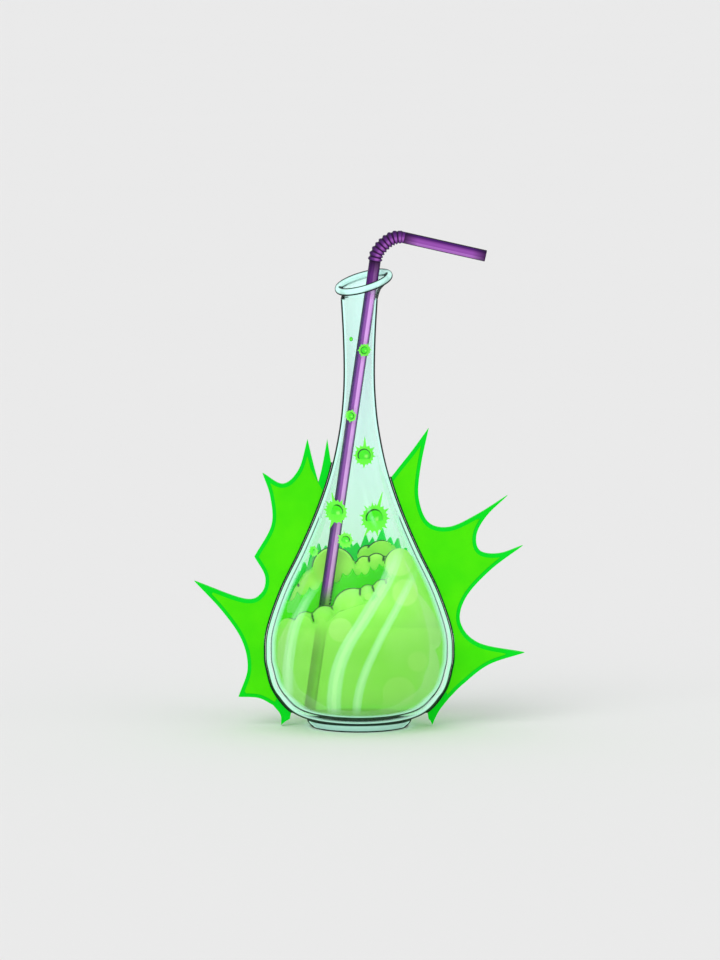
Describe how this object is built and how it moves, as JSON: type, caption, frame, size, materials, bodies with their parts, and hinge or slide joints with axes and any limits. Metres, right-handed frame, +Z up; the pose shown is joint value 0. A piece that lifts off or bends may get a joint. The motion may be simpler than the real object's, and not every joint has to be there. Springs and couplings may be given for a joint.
{
  "type": "potion flask with bendy straw",
  "caption": "Tear-drop glass potion flask with foot and tilted rolled lip, green potion and foam, bendy straw, and flat splash wings at both sides.",
  "frame": {"origin": "middle of the foot's flat underside", "axes": "+Z up along the flask's axis, the straw leans and bends towards +X, the front looks along -Y"},
  "size_m": [0.1488, 0.0844, 0.224],
  "materials": {
    "clear_glass": "clear hand-blown glass with a pale aqua tint",
    "green_potion": "translucent light green cast resin",
    "bright_potion": "saturated green cast resin",
    "potion_foam": "soft satin light green foam",
    "emerald_splash": "glossy emerald resin",
    "splat_film": "glossy lime film",
    "splat_bead": "glossy green drop",
    "purple_plastic": "glossy translucent purple straw plastic",
    "purple_bellows": "pleated purple straw plastic",
    "emerald_border": "satin emerald acrylic",
    "lime_inlay": "satin lime acrylic",
    "black_seal": "matt black bonding bead"
  },
  "bodies": {
    "flask": {"flask_body": "clear_glass", "flask_foot": "clear_glass", "flask_lip": "clear_glass", "foam_back": "potion_foam", "foam_crest": "potion_foam", "foam_front": "potion_foam", "inlay_left_back": "lime_inlay", "inlay_left_front": "lime_inlay", "inlay_right_back": "lime_inlay", "inlay_right_front": "lime_inlay", "potion": "green_potion", "potion_surge": "bright_potion", "seal_left": "black_seal", "seal_right": "black_seal", "splash_crown": "emerald_splash", "splat_bead_a": "splat_bead", "splat_bead_b": "splat_bead", "splat_bead_c": "splat_bead", "splat_bead_d": "splat_bead", "splat_bead_e": "splat_bead", "splat_bead_f": "splat_bead", "splat_bead_g": "splat_bead", "splat_bead_h": "splat_bead", "splat_star_b": "splat_film", "splat_star_c": "splat_film", "splat_star_d": "splat_film", "splat_star_e": "splat_film", "splat_star_f": "splat_film", "splat_star_g": "splat_film", "splat_star_h": "splat_film", "wing_left": "emerald_border", "wing_right": "emerald_border"},
    "straw": {"straw_lower_tube": "purple_plastic"},
    "pleat_1": {"straw_pleat_1": "purple_bellows"},
    "pleat_2": {"straw_pleat_2": "purple_bellows"},
    "pleat_3": {"straw_pleat_3": "purple_bellows"},
    "pleat_4": {"straw_pleat_4": "purple_bellows"},
    "pleat_5": {"straw_pleat_5": "purple_bellows"},
    "pleat_6": {"straw_pleat_6": "purple_bellows"},
    "pleat_7": {"straw_pleat_7": "purple_bellows"},
    "pleat_8": {"straw_pleat_8": "purple_bellows"},
    "pleat_9": {"straw_pleat_9": "purple_bellows"},
    "arm": {"straw_arm": "purple_plastic"}
  },
  "joints": [
    {"name": "straw_lift", "type": "slide", "parent": "flask", "child": "straw", "axis": [0.144, 0, 0.9896], "range_m": [0, 0.18]},
    {"name": "straw_turn", "type": "hinge", "parent": "straw", "child": "pleat_1", "pos_m": [0.007, 0, 0.2098], "axis": [0.144, 0, 0.9896], "continuous": true},
    {"name": "straw_bend_1", "type": "hinge", "parent": "pleat_1", "child": "pleat_2", "pos_m": [0.00729, 0, 0.21178], "axis": [0, 1, 0], "range_deg": [-13, 1.95]},
    {"name": "straw_bend_2", "type": "hinge", "parent": "pleat_2", "child": "pleat_3", "pos_m": [0.00801, 0, 0.21364], "axis": [0, 1, 0], "range_deg": [-12, 1.8]},
    {"name": "straw_bend_3", "type": "hinge", "parent": "pleat_3", "child": "pleat_4", "pos_m": [0.00911, 0, 0.21532], "axis": [0, 1, 0], "range_deg": [-8, 1.2]},
    {"name": "straw_bend_4", "type": "hinge", "parent": "pleat_4", "child": "pleat_5", "pos_m": [0.01043, 0, 0.21682], "axis": [0, 1, 0], "range_deg": [-5, 0.75]},
    {"name": "straw_bend_5", "type": "hinge", "parent": "pleat_5", "child": "pleat_6", "pos_m": [0.01188, 0, 0.2182], "axis": [0, 1, 0], "range_deg": [-7, 1.05]},
    {"name": "straw_bend_6", "type": "hinge", "parent": "pleat_6", "child": "pleat_7", "pos_m": [0.01348, 0, 0.2194], "axis": [0, 1, 0], "range_deg": [-11, 1.65]},
    {"name": "straw_bend_7", "type": "hinge", "parent": "pleat_7", "child": "pleat_8", "pos_m": [0.01528, 0, 0.22026], "axis": [0, 1, 0], "range_deg": [-14, 2.1]},
    {"name": "straw_bend_8", "type": "hinge", "parent": "pleat_8", "child": "pleat_9", "pos_m": [0.01724, 0, 0.22067], "axis": [0, 1, 0], "range_deg": [-13, 1.95]},
    {"name": "straw_bend_9", "type": "hinge", "parent": "pleat_9", "child": "arm", "pos_m": [0.01924, 0, 0.22062], "axis": [0, 1, 0], "range_deg": [-11.4, 1.71]}
  ]
}
